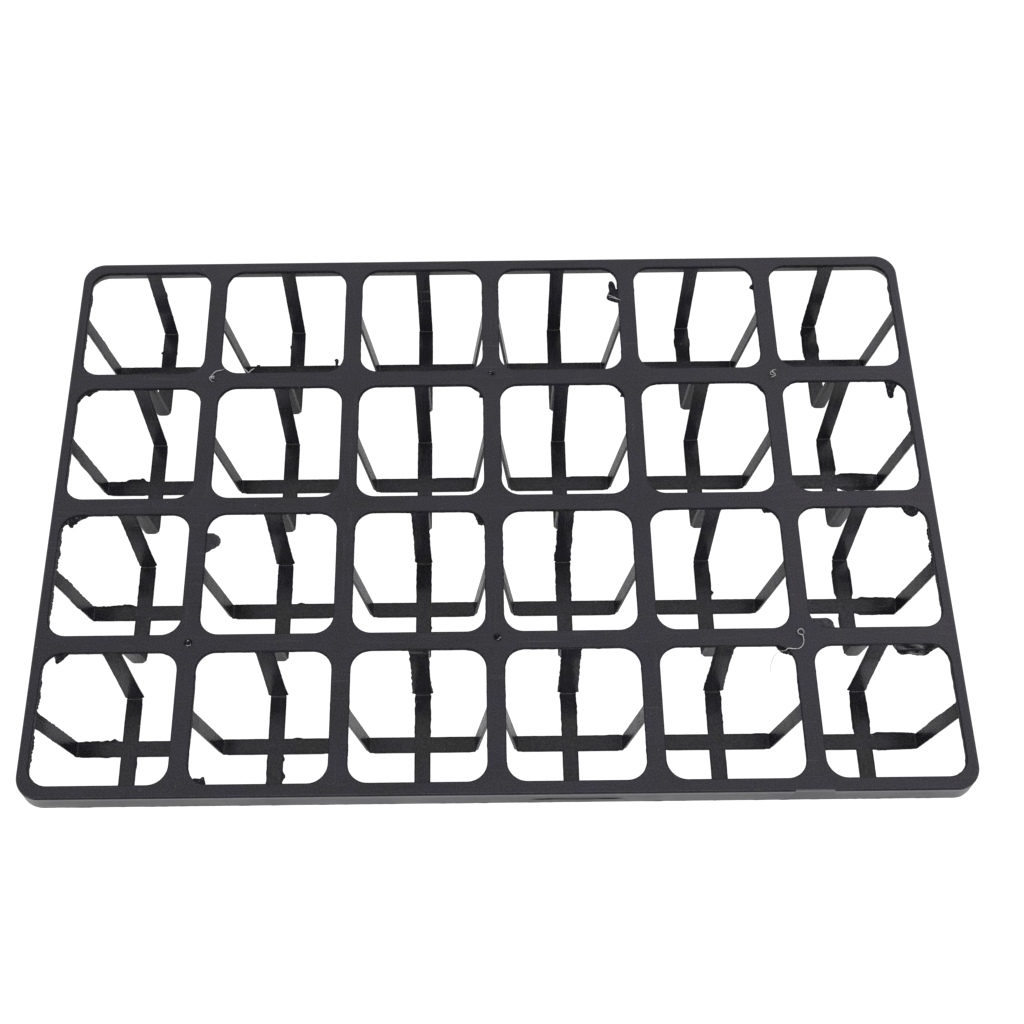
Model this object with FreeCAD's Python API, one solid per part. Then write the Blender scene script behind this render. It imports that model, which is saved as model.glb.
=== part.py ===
"""Open-cage nursery tray: one black polypropylene moulding that carries 24 potted plugs.

The tray is a flat deck with a grid of rounded square openings, a down-turned skirt round its edge,
and under every opening a cage of four leaning legs that meet in a cross-shaped floor.
The moulding is written as one solid per region: the deck, the skirt, each cage and the gate stubs.

Frame: millimetres, +X along the long side, +Y towards the back, +Z up.
The origin is under the middle of the tray, on the plane that the cage floors stand on.
"""
import math
import os

import FreeCAD
import Part

# ---- Driving dimensions ------------------------------------------------------------------------
COLUMNS = 6
ROWS = 4
PITCH = 75.0                # centre to centre of neighbouring cells, both ways
TRAY_HEIGHT = 53.3          # bench to the top of the deck

BAR_WIDTH = 9.2             # deck between two openings
OPENING_CORNER_R = 9.6
DECK_THICKNESS = 1.8
OPENING_EDGE_R = 0.35       # rounding of the deck's top edge round each opening

END_LAND = 5.3              # deck outside the outermost openings, at the left and right ends
SIDE_LAND = 6.3             # the same along the front and the back
OUTER_CORNER_R = 11.4
RIM_EDGE_R = 1.1            # rounding of the deck's outer top edge
SKIRT_DEPTH = 12.2          # top of the deck to the foot of the skirt
SKIRT_THICKNESS = 1.8
SKIRT_FOOT_R = 0.4

STRAP_THICKNESS = 1.7       # legs and floor of a cage
FLOOR_WIDTH = 8.1           # straps of the floor
LEG_WIDTH = 7.5             # a leg across its inner face, which is a little narrower than the floor
LEG_BACK_WIDTH = 6.7        # the same leg across its outer face: its sides taper
STRAP_EDGE_R = 0.3
LEG_BACK_R = 0.6            # rounding of a leg's outer edges
FLOOR_HALF_SPAN = 26.8      # cell centre to the inner bend between floor and leg
BEND_R = 2.2                # outside of that bend

GATE_ROOT_R = 1.5
GATE_TIP_R = 0.8
GATE_HEIGHT = 0.9
GATE_LINES_X = (-2, 0, 2)   # crossings of the grid that carry a gate, in pitches from the middle
GATE_LINES_Y = (-1, 1)

RECESS_X = 0.5 * PITCH      # shallow lens-shaped recess low on the front of the skirt
RECESS_LENGTH = 46.0
RECESS_HEIGHT = 1.8
RECESS_DEPTH = 0.9
RECESS_DROP = 7.6           # top of the deck to the middle of the recess

SCALLOP_X = 2 * PITCH - 2   # flat shaved across the front corner edge, deepest at the deck
SCALLOP_TOP = 18.5          # its length at the deck
SCALLOP_FOOT = 26.0         # its length where it runs out at the foot of the skirt
SCALLOP_DEPTH = 0.7

# ---- Derived dimensions ------------------------------------------------------------------------
OPENING = PITCH - BAR_WIDTH
DECK_UNDERSIDE = TRAY_HEIGHT - DECK_THICKNESS
SKIRT_FOOT = TRAY_HEIGHT - SKIRT_DEPTH
OUTER_LENGTH = (COLUMNS - 1) * PITCH + OPENING + 2 * END_LAND
OUTER_WIDTH = (ROWS - 1) * PITCH + OPENING + 2 * SIDE_LAND
FRONT = -OUTER_WIDTH / 2
CLEAR = 1.0                 # how far a cutting tool runs past the face that it cuts
SAME_HEIGHT = 0.01          # heights closer than this count as one plane

ORIGIN = FreeCAD.Vector(0, 0, 0)
ALONG = FreeCAD.Vector(1, 0, 0)
ACROSS = FreeCAD.Vector(0, 1, 0)
UP = FreeCAD.Vector(0, 0, 1)


def cell_centre(row, column):
    """Centre of a cell's floor; row 0 is the back row and column 0 the left one."""
    x = (column - (COLUMNS - 1) / 2) * PITCH
    y = ((ROWS - 1) / 2 - row) * PITCH
    return FreeCAD.Vector(x, y, 0)


def rounded_block(length, width, corner_r, z_low, z_high):
    """A block centred on the Z axis, with four rounded upright edges."""
    corner = FreeCAD.Vector(-length / 2, -width / 2, z_low)
    block = Part.makeBox(length, width, z_high - z_low, corner)
    upright = [edge for edge in block.Edges if edge.BoundBox.ZLength > edge.BoundBox.XLength
               and edge.BoundBox.ZLength > edge.BoundBox.YLength]
    return block.makeFillet(corner_r, upright)


def flat_face(shape, z):
    """The face of a shape that lies flat at height z."""
    return next(face for face in shape.Faces
                if abs(face.CenterOfMass.z - z) < SAME_HEIGHT and face.BoundBox.ZLength < SAME_HEIGHT)


def front_recess():
    """Cutter for the long recess in the skirt: a lens that comes to a point at both ends."""
    middle = FreeCAD.Vector(RECESS_X, FRONT - CLEAR, TRAY_HEIGHT - RECESS_DROP)
    left = middle - ALONG * (RECESS_LENGTH / 2)
    right = middle + ALONG * (RECESS_LENGTH / 2)
    upper = Part.Arc(left, middle + UP * (RECESS_HEIGHT / 2), right).toShape()
    lower = Part.Arc(right, middle - UP * (RECESS_HEIGHT / 2), left).toShape()
    return Part.Face(Part.Wire([upper, lower])).extrude(ACROSS * (CLEAR + RECESS_DEPTH))


def front_scallop():
    """Cutter for the shaved flat: a tapering slab in front of the skirt, leaning back over the deck."""
    spread = (SCALLOP_FOOT - SCALLOP_TOP) / 2 / SKIRT_DEPTH
    rise = SKIRT_DEPTH + CLEAR
    foot_half = SCALLOP_FOOT / 2
    top_half = foot_half - spread * rise
    outline = Part.makePolygon([FreeCAD.Vector(SCALLOP_X - foot_half, FRONT, SKIRT_FOOT),
                                FreeCAD.Vector(SCALLOP_X + foot_half, FRONT, SKIRT_FOOT),
                                FreeCAD.Vector(SCALLOP_X + top_half, FRONT, SKIRT_FOOT + rise),
                                FreeCAD.Vector(SCALLOP_X - top_half, FRONT, SKIRT_FOOT + rise),
                                FreeCAD.Vector(SCALLOP_X - foot_half, FRONT, SKIRT_FOOT)])
    slab = Part.Face(outline).extrude(ACROSS * -SCALLOP_FOOT)
    lean = math.degrees(math.atan2(SCALLOP_DEPTH, SKIRT_DEPTH))
    slab.rotate(FreeCAD.Vector(0, FRONT, SKIRT_FOOT), ALONG, -lean)
    return slab


def deck_grid():
    """The flat lattice: a plate with one rounded square opening for each cell."""
    deck = rounded_block(OUTER_LENGTH, OUTER_WIDTH, OUTER_CORNER_R, DECK_UNDERSIDE, TRAY_HEIGHT)
    deck = deck.makeFillet(RIM_EDGE_R, flat_face(deck, TRAY_HEIGHT).Edges)
    for row in range(ROWS):
        for column in range(COLUMNS):
            opening = rounded_block(OPENING, OPENING, OPENING_CORNER_R,
                                    DECK_UNDERSIDE - CLEAR, TRAY_HEIGHT + CLEAR)
            opening.translate(cell_centre(row, column))
            deck = deck.cut(opening)
    top = flat_face(deck, TRAY_HEIGHT)
    rims = [edge for wire in top.Wires if not wire.isSame(top.OuterWire) for edge in wire.Edges]
    return deck.makeFillet(OPENING_EDGE_R, rims).cut(front_scallop())


def rim_skirt():
    """The thin wall that turns down round the deck's edge."""
    wall = rounded_block(OUTER_LENGTH, OUTER_WIDTH, OUTER_CORNER_R, SKIRT_FOOT, DECK_UNDERSIDE)
    hollow = rounded_block(OUTER_LENGTH - 2 * SKIRT_THICKNESS, OUTER_WIDTH - 2 * SKIRT_THICKNESS,
                           OUTER_CORNER_R - SKIRT_THICKNESS, SKIRT_FOOT - CLEAR, DECK_UNDERSIDE + CLEAR)
    wall = wall.cut(hollow)
    wall = wall.makeFillet(SKIRT_FOOT_R, flat_face(wall, SKIRT_FOOT).Edges)
    return wall.cut(front_recess()).cut(front_scallop())


def strap_section(top_width, under_width, under_r, x):
    """Cross-section of a strap lying on the floor, square to X: wide along Y, thin along Z."""
    outline = [FreeCAD.Vector(x, -top_width / 2, STRAP_THICKNESS),
               FreeCAD.Vector(x, top_width / 2, STRAP_THICKNESS),
               FreeCAD.Vector(x, under_width / 2, 0),
               FreeCAD.Vector(x, -under_width / 2, 0)]
    bar = Part.Face(Part.makePolygon(outline + outline[:1])).extrude(ALONG * top_width)
    lengthwise = [edge for edge in bar.Edges if edge.BoundBox.XLength > top_width / 2]
    upper = [edge for edge in lengthwise if edge.CenterOfMass.z > STRAP_THICKNESS / 2]
    under = [edge for edge in lengthwise if edge.CenterOfMass.z < STRAP_THICKNESS / 2]
    bar = bar.makeFillet(STRAP_EDGE_R, upper).makeFillet(under_r, under)
    return next(face for face in bar.Faces if abs(face.CenterOfMass.x - x) < SAME_HEIGHT)


def strap_middle_line():
    """Middle line of half a strap, as its floor part and its bend and leg."""
    middle = STRAP_THICKNESS / 2
    lean = math.atan2(OPENING / 2 - FLOOR_HALF_SPAN, DECK_UNDERSIDE - STRAP_THICKNESS)
    half_turn = math.tan((math.pi / 2 - lean) / 2)
    bend_r = BEND_R - middle
    along_leg = FreeCAD.Vector(math.sin(lean), 0, math.cos(lean))
    start = FreeCAD.Vector(0, 0, middle)
    corner = FreeCAD.Vector(FLOOR_HALF_SPAN + middle * half_turn, 0, middle)
    overlap = FreeCAD.Vector(CLEAR, 0, 0)
    floor_end = corner - FreeCAD.Vector(bend_r * half_turn, 0, 0)
    leg_start = corner + along_leg * (bend_r * half_turn)
    bend_centre = floor_end + UP * bend_r
    bend_middle = bend_centre + (corner - bend_centre).normalize() * bend_r
    leg_end = corner + along_leg * ((DECK_UNDERSIDE + CLEAR) / math.cos(lean))
    floor_line = Part.Wire([Part.makeLine(start, floor_end)])
    leg_line = Part.Wire([Part.makeLine(floor_end - overlap, floor_end),
                          Part.Arc(floor_end, bend_middle, leg_start).toShape(),
                          Part.makeLine(leg_start, leg_end)])
    return floor_line, leg_line


def cell_cage():
    """Four arms, each half a strap, joined at the middle of the floor and trimmed under the deck."""
    floor_line, leg_line = strap_middle_line()
    floor_part = floor_line.makePipe(strap_section(FLOOR_WIDTH, FLOOR_WIDTH, STRAP_EDGE_R, 0))
    leg_part = leg_line.makePipe(strap_section(LEG_WIDTH, LEG_BACK_WIDTH, LEG_BACK_R,
                                               leg_line.Vertexes[0].X))
    arms = []
    for quarter in range(4):
        for part in (floor_part, leg_part):
            turned = part.copy()
            turned.rotate(ORIGIN, UP, 90 * quarter)
            arms.append(turned)
    cage = arms[0].multiFuse(arms[1:]).removeSplitter()
    above = rounded_block(PITCH, PITCH, OPENING_CORNER_R, DECK_UNDERSIDE, TRAY_HEIGHT + 2 * CLEAR)
    return cage.cut(above).Solids[0]


def gate_stubs():
    """The injection points, left as small cones on alternate crossings of the grid."""
    stubs = [Part.makeCone(GATE_ROOT_R, GATE_TIP_R, GATE_HEIGHT,
                           FreeCAD.Vector(x * PITCH, y * PITCH, TRAY_HEIGHT))
             for y in GATE_LINES_Y for x in GATE_LINES_X]
    return Part.makeCompound(stubs)


def save(shape, node):
    """Write one region of the tray to its own file."""
    shape.exportStep(f"parts/{node}.step")


def main():
    os.makedirs("parts", exist_ok=True)
    save(deck_grid(), "deck_grid")
    save(rim_skirt(), "rim_skirt")
    save(gate_stubs(), "gate_stubs")
    cage = cell_cage()
    for row in range(ROWS):
        for column in range(COLUMNS):
            placed = cage.copy()
            placed.translate(cell_centre(row, column))
            save(placed, f"cell_cage_r{row + 1}_c{column + 1}")


main()
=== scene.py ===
import math

import bmesh
import bpy
from mathutils import Matrix, Vector, noise
from mathutils.geometry import delaunay_2d_cdt


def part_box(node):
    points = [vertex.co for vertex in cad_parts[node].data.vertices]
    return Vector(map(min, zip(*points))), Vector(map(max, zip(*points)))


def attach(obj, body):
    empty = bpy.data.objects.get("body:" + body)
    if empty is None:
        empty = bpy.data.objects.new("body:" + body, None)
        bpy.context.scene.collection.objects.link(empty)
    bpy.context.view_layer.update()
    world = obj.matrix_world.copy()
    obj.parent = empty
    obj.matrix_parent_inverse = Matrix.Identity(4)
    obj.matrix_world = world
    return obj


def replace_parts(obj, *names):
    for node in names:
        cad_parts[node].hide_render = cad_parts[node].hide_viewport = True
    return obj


# Looks for the open-cage nursery tray: metres, +X right, +Y back, +Z up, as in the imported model.
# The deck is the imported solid. The skirt, the cages, the gate marks and all moulding flash are built
# here round it as closed meshes.

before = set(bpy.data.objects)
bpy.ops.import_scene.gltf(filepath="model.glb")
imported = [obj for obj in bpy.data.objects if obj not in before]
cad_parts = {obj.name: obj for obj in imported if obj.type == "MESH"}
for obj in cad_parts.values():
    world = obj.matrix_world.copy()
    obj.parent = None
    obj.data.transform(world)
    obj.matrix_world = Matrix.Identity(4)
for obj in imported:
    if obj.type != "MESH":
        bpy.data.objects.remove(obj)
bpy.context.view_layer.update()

MM = 0.001
ROWS = 4
COLUMNS = 6
BODY = "root"

DECK_LOW, DECK_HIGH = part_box("deck_grid")
SKIRT_LOW, SKIRT_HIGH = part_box("rim_skirt")
DECK_TOP = DECK_HIGH.z
DECK_UNDER = DECK_LOW.z
FLOOR_HALF = 4.05 * MM       # half the width of a floor strap
LEG_HALF = 3.75 * MM         # half the width of a leg across its inner face
LEG_BACK_HALF = 3.35 * MM    # and across its outer face
STRAP_THICK = 1.7 * MM
STRAP_EDGE_R = 0.3 * MM
LEG_BACK_R = 0.6 * MM
FLOOR_REACH = 26.8 * MM      # cell centre to the inner corner where a floor strap turns up
BEND_INSIDE_R = 0.5 * MM
FOOT_R = 1.4 * MM            # rounding of the lower corners on the outer face of a leg
FIN_THICK = 0.45 * MM
CORNER_R = 9.6 * MM          # corner radius of an opening
HALF_BAR = 4.6 * MM          # half the width of a bar between two openings
BURIED = 0.6 * MM            # how far a leg runs on inside the deck
STATION = 1.1 * MM           # spacing of the rings along a strap


def cage_name(row, column):
    return "cell_cage_r%d_c%d" % (row, column)


def cell_middle(row, column):
    low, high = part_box(cage_name(row, column))
    return (low + high) / 2


def all_cells():
    """Row and column of every cell; row 1 is at the back and column 1 on the left."""
    return [(row, column) for row in range(1, ROWS + 1) for column in range(1, COLUMNS + 1)]


PITCH = cell_middle(1, 2).x - cell_middle(1, 1).x
CAGE_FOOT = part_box(cage_name(1, 1))[0].z
WALL_AT = PITCH / 2 - HALF_BAR                # cell centre to the wall of its opening
CORNER_FROM = WALL_AT - CORNER_R              # where the wall of an opening turns into its corner
RECESS_X = PITCH / 2                          # middle of the recess on the front of the skirt
RECESS_DROP = 7.6 * MM
RECESS_REACH = 23.0 * MM                      # middle of the recess to its end
RECESS_HALF = 1.25 * MM                       # half its height in the middle
RECESS_DEPTH = 0.8 * MM
SCALLOP_X = 2 * PITCH - 2 * MM                # middle of the shaved flat at the front right
SCALLOP_FOOT = 26.0 * MM                      # its length at the foot and at the top
SCALLOP_TOP = 18.5 * MM
SCALLOP_DEPTH = 0.7 * MM
SKIRT_DEEP = 12.7 * MM                        # deck top to the skirt's foot
SKIRT_THICK = 1.8 * MM
SKIRT_FLARE = 0.97 * MM                       # how far the skirt's foot stands out: the mould's draft
SKIRT_CORNER_R = 11.4 * MM


# ---- Small helpers -----------------------------------------------------------------------------

def smooth_step(value):
    value = min(max(value, 0.0), 1.0)
    return value * value * (3 - 2 * value)


def wave(seed, place, length):
    """Smooth noise between about -1 and 1 that changes over the given length."""
    return noise.noise(Vector((place / length, seed * 3.71, seed * 1.13)))


def swelling(place, start, end, height, height_end):
    """A raised stretch with soft ends; its height may change evenly along it."""
    soft = min(2.2, 0.45 * (end - start))
    rise = smooth_step((place - start) / soft) * smooth_step((end - place) / soft)
    share = min(max((place - start) / (end - start), 0.0), 1.0)
    return rise * (height + (height_end - height) * share)


def between(values, t):
    """A smooth curve through evenly spaced values, read at t from 0 to 1."""
    spot = t * (len(values) - 1)
    left = min(int(spot), len(values) - 2)
    mix = smooth_step(spot - left)
    return values[left] * (1 - mix) + values[left + 1] * mix


def spline(a, b, c, d, steps):
    """Points of a Catmull-Rom curve from b up to just before c."""
    points = []
    for step in range(steps):
        t = step / steps
        points.append(0.5 * ((2 * b) + (c - a) * t + (2 * a - 5 * b + 4 * c - d) * t * t
                             + (3 * b - a - 3 * c + d) * t * t * t))
    return points


def stitch(rings, count, closed=False):
    """Faces between neighbouring rings of count points, each ring given by its first vertex number."""
    pairs = list(zip(rings, rings[1:]))
    if closed:
        pairs.append((rings[-1], rings[0]))
    faces = []
    for one, two in pairs:
        for i in range(count):
            j = (i + 1) % count
            faces.append((one + i, one + j, two + j, two + i))
    return faces


def cap(start, count):
    """One face over a whole ring of points."""
    return tuple(range(start, start + count))


def add_piece(name, shape, material, sharp_degrees=50.0, layers=None):
    """Makes a closed mesh object from (verts, faces) and lets it ride on the tray."""
    verts, faces = shape
    mesh = bpy.data.meshes.new(name)
    mesh.from_pydata(verts, [], faces)
    for layer, values in (layers or {}).items():
        store = mesh.attributes.new(layer, "FLOAT", "POINT")
        store.data.foreach_set("value", values)
    work = bmesh.new()
    work.from_mesh(mesh)
    bmesh.ops.remove_doubles(work, verts=work.verts, dist=0.002 * MM)
    bmesh.ops.dissolve_degenerate(work, edges=work.edges, dist=0.001 * MM)
    bmesh.ops.recalc_face_normals(work, faces=work.faces)
    work.to_mesh(mesh)
    work.free()
    mesh.shade_smooth()
    mesh.set_sharp_from_angle(angle=math.radians(sharp_degrees))
    mesh.materials.append(material)
    piece = bpy.data.objects.new(name, mesh)
    bpy.context.scene.collection.objects.link(piece)
    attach(piece, BODY)
    return piece


def join_shells(shells):
    """One vertex list and face list out of several closed shells."""
    verts, faces = [], []
    for shell_verts, shell_faces in shells:
        start = len(verts)
        verts.extend(shell_verts)
        faces.extend(tuple(start + i for i in face) for face in shell_faces)
    return verts, faces


# ---- Materials ---------------------------------------------------------------------------------

class Nodes:
    """A short way to write the node tree of a material or of the world."""

    def __init__(self, owner):
        self.owner = owner
        owner.use_nodes = True
        self.tree = owner.node_tree
        self.tree.nodes.clear()

    def add(self, kind, settings=None, **inputs):
        made = self.tree.nodes.new(kind)
        for key, value in (settings or {}).items():
            setattr(made, key, value)
        for key, value in inputs.items():
            self.feed(made, key.replace("_", " "), value)
        return made

    def feed(self, made, key, value):
        socket = made.inputs[int(key)] if key.isdigit() else made.inputs[key]
        if isinstance(value, bpy.types.NodeSocket):
            self.tree.links.new(value, socket)
        else:
            socket.default_value = value

    def place(self):
        return self.add("ShaderNodeTexCoord").outputs["Object"]

    def math(self, operation, a, b=0.0, clamp=False):
        made = self.add("ShaderNodeMath", {"operation": operation, "use_clamp": clamp})
        self.feed(made, "0", a)
        self.feed(made, "1", b)
        return made.outputs[0]

    def times(self, a, b):
        return self.math("MULTIPLY", a, b)

    def plus(self, base, extra, share, clamp=False):
        """base and share times extra."""
        return self.math("ADD", base, self.times(extra, share), clamp)

    def off(self, value, middle):
        """Distance of a value from a middle value."""
        return self.math("ABSOLUTE", self.math("SUBTRACT", value, middle))

    def spread(self, value, low, high, to_low=0.0, to_high=1.0):
        made = self.add("ShaderNodeMapRange", {"interpolation_type": "SMOOTHSTEP"}, Value=value,
                        From_Min=low, From_Max=high, To_Min=to_low, To_Max=to_high)
        return made.outputs[0]

    def mix(self, share, a, b):
        made = self.add("ShaderNodeMix", {"data_type": "RGBA"})
        self.feed(made, "0", share)
        self.feed(made, "6", a)
        self.feed(made, "7", b)
        return made.outputs[2]

    def noise(self, place, scale, detail=3.0, rough=0.55):
        made = self.add("ShaderNodeTexNoise", Vector=place, Scale=scale, Detail=detail, Roughness=rough)
        return made.outputs["Fac"]

    def streaks(self, place, scale, detail, rough=0.6, turn=0.0):
        """Noise stretched by a scale for each axis and turned about Z."""
        made = self.add("ShaderNodeMapping", Vector=place, Scale=scale, Rotation=(0.0, 0.0, turn))
        return self.noise(made.outputs["Vector"], 1.0, detail, rough)

    def turned_noise(self, place, turn, scale, detail):
        made = self.add("ShaderNodeMapping", Vector=place, Rotation=(0.0, 0.0, turn))
        return self.noise(made.outputs["Vector"], scale, detail)


def shade(red, green, blue, pale=0.0):
    return (red + pale, green + pale, blue + pale, 1.0)


GRAIN_GREY = shade(0.016, 0.016, 0.018)
STREAK_GREY = shade(0.034, 0.034, 0.038)
SCRATCH_GREY = shade(0.060, 0.060, 0.066)
BAR_STREAK = shade(0.022, 0.021, 0.026)
# Painted shade: near black for the inside of the skirt's recess, standing for the shade that falls in it.
RECESS_PAINTED_SHADE = shade(0.008, 0.008, 0.010)
# Painted highlight: a pale band on the skirt just below the deck, standing for light caught by its rounded
# top edge.
TOP_EDGE_PAINTED_HIGHLIGHT = shade(0.150, 0.150, 0.155)
DUST_DARK = shade(0.050, 0.048, 0.046)
DUST_LIGHT = shade(0.36, 0.34, 0.31)
DARK_EDGE = 0.12                              # shine of edges and hollows that catch little light


def plastic_colour(n, place, flow, pale, blotches):
    """Near black, with flow marks, paler blotches and a violet cast in places."""
    light = shade(0.0105, 0.0098, 0.0135, 1.5 * pale)
    marks = n.streaks(place, flow, 5.0)
    tint = n.turned_noise(place, 0.4, 55.0, 4.0)
    colour = n.mix(n.spread(marks, 0.36, 0.68), shade(0.0042, 0.0046, 0.0056, pale), light)
    colour = n.mix(n.spread(blotches, 0.50, 0.75, 0.0, 0.45), colour, light)
    return n.mix(n.spread(tint, 0.46, 0.58, 0.0, 0.9), colour, shade(0.0085, 0.0066, 0.0150, pale))


def strap_streaks(n, colour, height, shine):
    """Fine lines along a strap, and edges that catch less light."""
    along = n.add("ShaderNodeAttribute", {"attribute_name": "along"}).outputs["Fac"]
    across = n.add("ShaderNodeAttribute", {"attribute_name": "across"}).outputs["Fac"]
    strap = n.add("ShaderNodeCombineXYZ", X=along, Y=across, Z=0.0).outputs[0]
    lines = n.streaks(strap, (22.0, 1500.0, 1.0), 4.0, 0.65)
    wide_lines = n.streaks(strap, (14.0, 420.0, 1.0), 2.0, 0.5)
    streak = n.spread(lines, 0.52, 0.74)
    colour = n.mix(n.times(streak, 0.55), colour, STREAK_GREY)
    height = n.plus(n.plus(height, lines, 1.6), wide_lines, 1.4)
    edge = n.spread(n.math("ABSOLUTE", across), 2.9 * MM, 3.9 * MM)
    return colour, height, n.spread(edge, 0.0, 1.0, shine, 0.55 * shine), n.times(streak, 0.16)


def scratches(n, place):
    """Share of hair-fine scratches, in patches, in three directions."""
    share = 0.0
    for index, turn in enumerate((0.5, 2.1, 1.2)):
        hair = n.streaks(place, (26.0, 1900.0, 26.0), 2.0, 0.5, turn)
        patch = n.turned_noise(place, 3.0 * index, 17.0, 1.0)
        mark = n.times(n.spread(hair, 0.67, 0.74), n.spread(patch, 0.52, 0.64))
        share = n.math("MAXIMUM", share, mark)
    return share


def dust_specks(n, place):
    """Share and colour of tiny specks of dust."""
    specks = n.add("ShaderNodeTexVoronoi", {"feature": "F1"}, Vector=place, Scale=420.0)
    chosen = n.add("ShaderNodeSeparateColor", Color=specks.outputs["Color"])
    size = n.spread(chosen.outputs[1], 0.0, 1.0, 0.035, 0.085)
    near = n.math("LESS_THAN", specks.outputs["Distance"], size)
    speck = n.times(near, n.math("GREATER_THAN", chosen.outputs[0], 0.82))
    return speck, n.mix(chosen.outputs[2], DUST_DARK, DUST_LIGHT)


def black_plastic(name, flow, pale=0.0, rough=0.40, strap=False, grain=1.0, extra=None,
                  sheen=(1.0, 1.0, 1.0, 1.0)):
    """Black recycled polypropylene: flow marks, fine grain, scuffs, dust specks and a little wear.
    flow is the stretch of the flow marks; strap adds streaks along a strap; extra changes the colour,
    height and shine of one piece."""
    n = Nodes(bpy.data.materials.new(name))
    place = n.place()
    blotches = n.noise(place, 38.0, 3.0)
    fine = n.noise(place, 900.0, 2.0)
    colour = plastic_colour(n, place, flow, pale, blotches)
    height = n.plus(n.times(fine, 0.5 * grain), blotches, 1.2)
    shine = 0.5
    streak_rough = None
    if strap:
        colour, height, shine, streak_rough = strap_streaks(n, colour, height, shine)
    if extra:
        colour, height, shine = extra(n, colour, height, shine)
    grains = n.noise(place, 1500.0, 2.0)
    colour = n.mix(n.spread(grains, 0.42, 0.66, 0.0, 0.5), colour, GRAIN_GREY)
    shine = n.times(shine, n.spread(grains, 0.35, 0.65, 0.74, 1.26))
    scratch = scratches(n, place)
    colour = n.mix(n.times(scratch, 0.55), colour, SCRATCH_GREY)
    speck, dust = dust_specks(n, place)
    colour = n.mix(speck, colour, dust)

    roughness = n.spread(blotches, 0.3, 0.7, rough - 0.05, rough + 0.09)
    roughness = n.plus(n.plus(roughness, scratch, 0.15), speck, 0.3, clamp=True)
    if strap:
        roughness = n.math("ADD", roughness, streak_rough, clamp=True)
    bump = n.add("ShaderNodeBump", Strength=0.55, Distance=0.05 * MM, Height=height)
    shader = n.add("ShaderNodeBsdfPrincipled", Roughness=roughness, IOR=1.49, Base_Color=colour,
                   Specular_IOR_Level=shine, Specular_Tint=sheen, Normal=bump.outputs["Normal"])
    n.add("ShaderNodeOutputMaterial", Surface=shader.outputs[0])
    return n.owner


def deck_extra(n, colour, height, shine):
    """Streaks that run along each bar, and edges that catch less light round every opening."""
    place = n.add("ShaderNodeNewGeometry").outputs["Position"]
    split = n.add("ShaderNodeSeparateXYZ", Vector=place)
    to_bar = [n.math("PINGPONG", split.outputs[axis], PITCH / 2) for axis in (0, 1)]
    run_x = n.streaks(place, (30.0, 620.0, 30.0), 4.0)
    run_y = n.streaks(place, (620.0, 30.0, 30.0), 4.0)
    on_cross_bar = n.math("LESS_THAN", to_bar[1], HALF_BAR)
    lines = n.plus(n.times(run_x, on_cross_bar), run_y, n.math("SUBTRACT", 1.0, on_cross_bar))
    colour = n.mix(n.spread(lines, 0.54, 0.72, 0.0, 0.6), colour, BAR_STREAK)
    height = n.plus(height, lines, 1.3)
    # Past a corner's centre line the edge is an arc; elsewhere it is the straight wall.
    past = []
    for bar in to_bar:
        beyond = n.math("SUBTRACT", n.math("SUBTRACT", PITCH / 2, bar), CORNER_FROM)
        past.append(n.math("MAXIMUM", beyond, 0.0))
    radius = n.math("SQRT", n.plus(n.times(past[0], past[0]), past[1], past[1]))
    from_edge = n.math("SUBTRACT", radius, CORNER_R)
    wobble = n.times(n.noise(place, 260.0, 2.0), 0.5 * MM)
    lit = n.spread(n.math("SUBTRACT", from_edge, wobble), -0.15 * MM, 0.45 * MM)
    rim_x = n.math("SUBTRACT", DECK_HIGH.x, n.math("ABSOLUTE", split.outputs[0]))
    rim_y = n.math("SUBTRACT", DECK_HIGH.y, n.math("ABSOLUTE", split.outputs[1]))
    rim = n.spread(n.math("MINIMUM", rim_x, rim_y), 0.25 * MM, 0.85 * MM)
    return colour, height, n.spread(n.times(lit, rim), 0.0, 1.0, DARK_EDGE, shine)


def skirt_extra(n, colour, height, shine):
    """The shallow recess low on the front is darkened with painted shade, and a painted highlight runs as a
    paler line just below the deck.
    """
    split = n.add("ShaderNodeSeparateXYZ", Vector=n.add("ShaderNodeNewGeometry").outputs["Position"])
    along = n.off(split.outputs[0], RECESS_X)
    level = n.off(split.outputs[2], DECK_TOP - RECESS_DROP)
    share = n.times(n.spread(along, 17.0 * MM, RECESS_REACH, 1.0, 0.0),
                    n.spread(level, 0.8 * MM, RECESS_HALF, 1.0, 0.0))
    share = n.times(share, n.math("LESS_THAN", split.outputs[1], SKIRT_LOW.y + 1.2 * MM))
    # Painted shade: where share marks the recess, the colour is darkened to stand for the shade inside it.
    colour = n.mix(share, colour, RECESS_PAINTED_SHADE)
    # Painted highlight: the paler band just below the deck stands for light caught by the skirt's rounded top
    # edge.
    painted_highlight = n.spread(split.outputs[2], DECK_UNDER - 2.2 * MM, DECK_UNDER - 0.6 * MM, 0.0, 0.75)
    colour = n.mix(painted_highlight, colour, TOP_EDGE_PAINTED_HIGHLIGHT)
    return colour, height, n.spread(share, 0.0, 1.0, shine, DARK_EDGE)


def flash_extra(n, colour, height, shine):
    """Torn plastic is matt, with small glints."""
    return colour, height, n.spread(n.noise(n.place(), 750.0, 3.0), 0.55, 0.70, 0.10, 0.75)


def bead_extra(n, colour, height, shine):
    """A glossy, lumpy bead: dark hollows between bright streaks."""
    lumps = n.streaks(n.place(), (120.0, 520.0, 300.0), 3.0, 0.6, 0.6)
    return colour, n.plus(height, lumps, 5.0), n.spread(lumps, 0.46, 0.62, 0.06, 1.0)


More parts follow.
